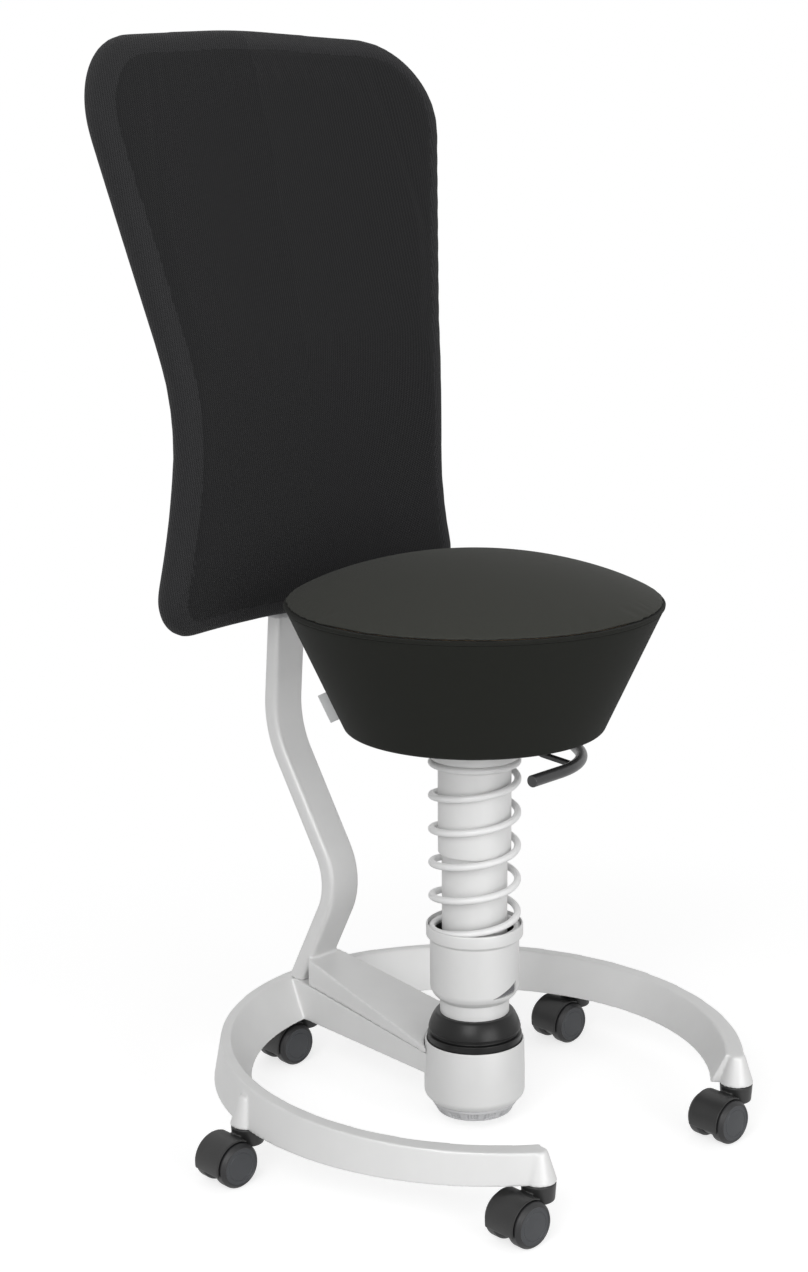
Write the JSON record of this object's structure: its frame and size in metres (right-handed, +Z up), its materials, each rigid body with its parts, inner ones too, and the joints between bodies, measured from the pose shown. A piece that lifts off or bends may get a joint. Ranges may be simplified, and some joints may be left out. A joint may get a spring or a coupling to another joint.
{
  "type": "balance stool",
  "caption": "Balance stool: round padded seat on a tilting, bouncing spring column, open cast foot ring on castors, padded backrest on a bent bar.",
  "frame": {"origin": "on the floor, under the axis of the column at rest", "axes": "+Z up along the column, -Y to the front where the foot ring is open, +Y to the backrest"},
  "size_m": [0.6373, 0.6626, 1.2202],
  "materials": {
    "silver_paint": "fine satin powder coat",
    "spring_paint": "satin coat",
    "knob_plastic": "moulded, fine grain",
    "black_rubber": "matt",
    "bare_steel": "zinc plated",
    "gas_black": "black coat",
    "bush_plastic": "moulded",
    "black_plastic": "moulded, fine grain",
    "wheel_plastic": "moulded, satin face",
    "seat_cloth": "smooth fine felt",
    "back_knit": "spacer knit",
    "board": "plywood",
    "lever_black": "satin black coat",
    "tag_cloth": "woven tape"
  },
  "bodies": {
    "base": {"base_casting": "silver_paint", "backrest_bar": "silver_paint", "bar_screw_1": "bare_steel", "bar_screw_2": "bare_steel", "ball_stud": "bare_steel", "stud_nut": "bare_steel", "buffer_ring": "black_rubber", "backrest_sleeve": "knob_plastic", "backrest_board": "board", "backrest_front_pad": "back_knit", "backrest_back_pad": "back_knit"},
    "tilt_ring": {"bearing_liner": "bush_plastic"},
    "column": {"tilt_hub": "silver_paint", "rubber_ball": "black_rubber", "lower_tube": "silver_paint", "tube_bush": "bush_plastic", "main_spring": "spring_paint"},
    "cup": {"spring_cup": "silver_paint"},
    "knob": {"tension_knob": "knob_plastic"},
    "carriage": {"upper_tube": "silver_paint", "guide_bush": "bush_plastic", "spring_top_seat": "silver_paint", "gas_guide": "bush_plastic"},
    "swivel": {"gas_rod": "bare_steel"},
    "seat": {"gas_cylinder": "gas_black", "seat_hub": "gas_black", "seat_plate": "board", "seat_shell": "black_plastic", "seat_skirt": "seat_cloth", "seat_cushion": "seat_cloth", "seat_tag": "tag_cloth", "seat_screw_1": "bare_steel", "seat_screw_2": "bare_steel", "seat_screw_3": "bare_steel", "seat_screw_4": "bare_steel", "lever_pin": "bare_steel"},
    "lever": {"lever": "lever_black"},
    "valve": {"gas_valve": "bare_steel"},
    "castor_1": {"castor_1_body": "black_plastic", "castor_1_axle": "bare_steel"},
    "castor_1_left": {"castor_1_wheel_a": "wheel_plastic"},
    "castor_1_right": {"castor_1_wheel_b": "wheel_plastic"},
    "castor_2": {"castor_2_body": "black_plastic", "castor_2_axle": "bare_steel"},
    "castor_2_left": {"castor_2_wheel_a": "wheel_plastic"},
    "castor_2_right": {"castor_2_wheel_b": "wheel_plastic"},
    "castor_3": {"castor_3_body": "black_plastic", "castor_3_axle": "bare_steel"},
    "castor_3_left": {"castor_3_wheel_a": "wheel_plastic"},
    "castor_3_right": {"castor_3_wheel_b": "wheel_plastic"},
    "castor_4": {"castor_4_body": "black_plastic", "castor_4_axle": "bare_steel"},
    "castor_4_left": {"castor_4_wheel_a": "wheel_plastic"},
    "castor_4_right": {"castor_4_wheel_b": "wheel_plastic"},
    "castor_5": {"castor_5_body": "black_plastic", "castor_5_axle": "bare_steel"},
    "castor_5_left": {"castor_5_wheel_a": "wheel_plastic"},
    "castor_5_right": {"castor_5_wheel_b": "wheel_plastic"}
  },
  "joints": [
    {"name": "tilt_sideways", "type": "hinge", "parent": "base", "child": "tilt_ring", "pos_m": [0, 0, 0.1], "axis": [0, 1, 0], "range_deg": [-8, 8], "stiffness_Nm_per_rad": 160},
    {"name": "tilt_fore_aft", "type": "hinge", "parent": "tilt_ring", "child": "column", "pos_m": [0, 0, 0.1], "axis": [1, 0, 0], "range_deg": [-5, 10], "stiffness_Nm_per_rad": 160},
    {"name": "cup_turn", "type": "hinge", "parent": "column", "child": "cup", "pos_m": [0, 0, 0.19], "axis": [0, 0, 1], "range_deg": [-180, 180]},
    {"name": "knob_turn", "type": "hinge", "parent": "base", "child": "knob", "pos_m": [0, 0, 0.02], "axis": [0, 0, 1], "range_deg": [-360, 360]},
    {"name": "bounce", "type": "slide", "parent": "column", "child": "carriage", "axis": [0, 0, 1], "range_m": [-0.05, 0], "stiffness_N_per_m": 12000, "springref_m": 0.03, "deforming": ["main_spring"]},
    {"name": "seat_swivel", "type": "hinge", "parent": "carriage", "child": "swivel", "pos_m": [0, 0, 0.3], "axis": [0, 0, 1], "continuous": true},
    {"name": "seat_height", "type": "slide", "parent": "swivel", "child": "seat", "axis": [0, 0, 1], "range_m": [-0.11, 0], "stiffness_N_per_m": 500, "springref_m": 0.6},
    {"name": "lever_lift", "type": "hinge", "parent": "seat", "child": "lever", "pos_m": [0.00832, -0.03913, 0.58794], "axis": [0.9781, 0.2079, 0], "range_deg": [-6, 0], "stiffness_Nm_per_rad": 2, "springref_deg": 5.73},
    {"name": "valve_press", "type": "slide", "parent": "seat", "child": "valve", "axis": [0, 0, 1], "range_m": [-0.0042, 0]},
    {"name": "castor_1_swivel", "type": "hinge", "parent": "base", "child": "castor_1", "pos_m": [0.17163, -0.24523, 0.06], "axis": [0, 0, 1], "continuous": true},
    {"name": "castor_1_left_roll", "type": "hinge", "parent": "castor_1", "child": "castor_1_left", "pos_m": [0.14121, -0.2431, 0.025], "axis": [0.0698, 0.9976, 0], "continuous": true},
    {"name": "castor_1_right_roll", "type": "hinge", "parent": "castor_1", "child": "castor_1_right", "pos_m": [0.14121, -0.2431, 0.025], "axis": [0.0698, 0.9976, 0], "continuous": true},
    {"name": "castor_2_swivel", "type": "hinge", "parent": "base", "child": "castor_2", "pos_m": [0.27771, 0.08123, 0.06], "axis": [0, 0, 1], "continuous": true},
    {"name": "castor_2_left_roll", "type": "hinge", "parent": "castor_2", "child": "castor_2_left", "pos_m": [0.24728, 0.08336, 0.025], "axis": [0.0698, 0.9976, 0], "continuous": true},
    {"name": "castor_2_right_roll", "type": "hinge", "parent": "castor_2", "child": "castor_2_right", "pos_m": [0.24728, 0.08336, 0.025], "axis": [0.0698, 0.9976, 0], "continuous": true},
    {"name": "castor_3_swivel", "type": "hinge", "parent": "base", "child": "castor_3", "pos_m": [0, 0.283, 0.06], "axis": [0, 0, 1], "continuous": true},
    {"name": "castor_3_left_roll", "type": "hinge", "parent": "castor_3", "child": "castor_3_left", "pos_m": [-0.03043, 0.28513, 0.025], "axis": [0.0698, 0.9976, 0], "continuous": true},
    {"name": "castor_3_right_roll", "type": "hinge", "parent": "castor_3", "child": "castor_3_right", "pos_m": [-0.03043, 0.28513, 0.025], "axis": [0.0698, 0.9976, 0], "continuous": true},
    {"name": "castor_4_swivel", "type": "hinge", "parent": "base", "child": "castor_4", "pos_m": [-0.27771, 0.08123, 0.06], "axis": [0, 0, 1], "continuous": true},
    {"name": "castor_4_left_roll", "type": "hinge", "parent": "castor_4", "child": "castor_4_left", "pos_m": [-0.30813, 0.08336, 0.025], "axis": [0.0698, 0.9976, 0], "continuous": true},
    {"name": "castor_4_right_roll", "type": "hinge", "parent": "castor_4", "child": "castor_4_right", "pos_m": [-0.30813, 0.08336, 0.025], "axis": [0.0698, 0.9976, 0], "continuous": true},
    {"name": "castor_5_swivel", "type": "hinge", "parent": "base", "child": "castor_5", "pos_m": [-0.17163, -0.24523, 0.06], "axis": [0, 0, 1], "continuous": true},
    {"name": "castor_5_left_roll", "type": "hinge", "parent": "castor_5", "child": "castor_5_left", "pos_m": [-0.20206, -0.2431, 0.025], "axis": [0.0698, 0.9976, 0], "continuous": true},
    {"name": "castor_5_right_roll", "type": "hinge", "parent": "castor_5", "child": "castor_5_right", "pos_m": [-0.20206, -0.2431, 0.025], "axis": [0.0698, 0.9976, 0], "continuous": true}
  ],
  "couplings": [
    {"joint": "valve_press", "follows": "lever_lift", "m_per_rad": 0.04}
  ]
}
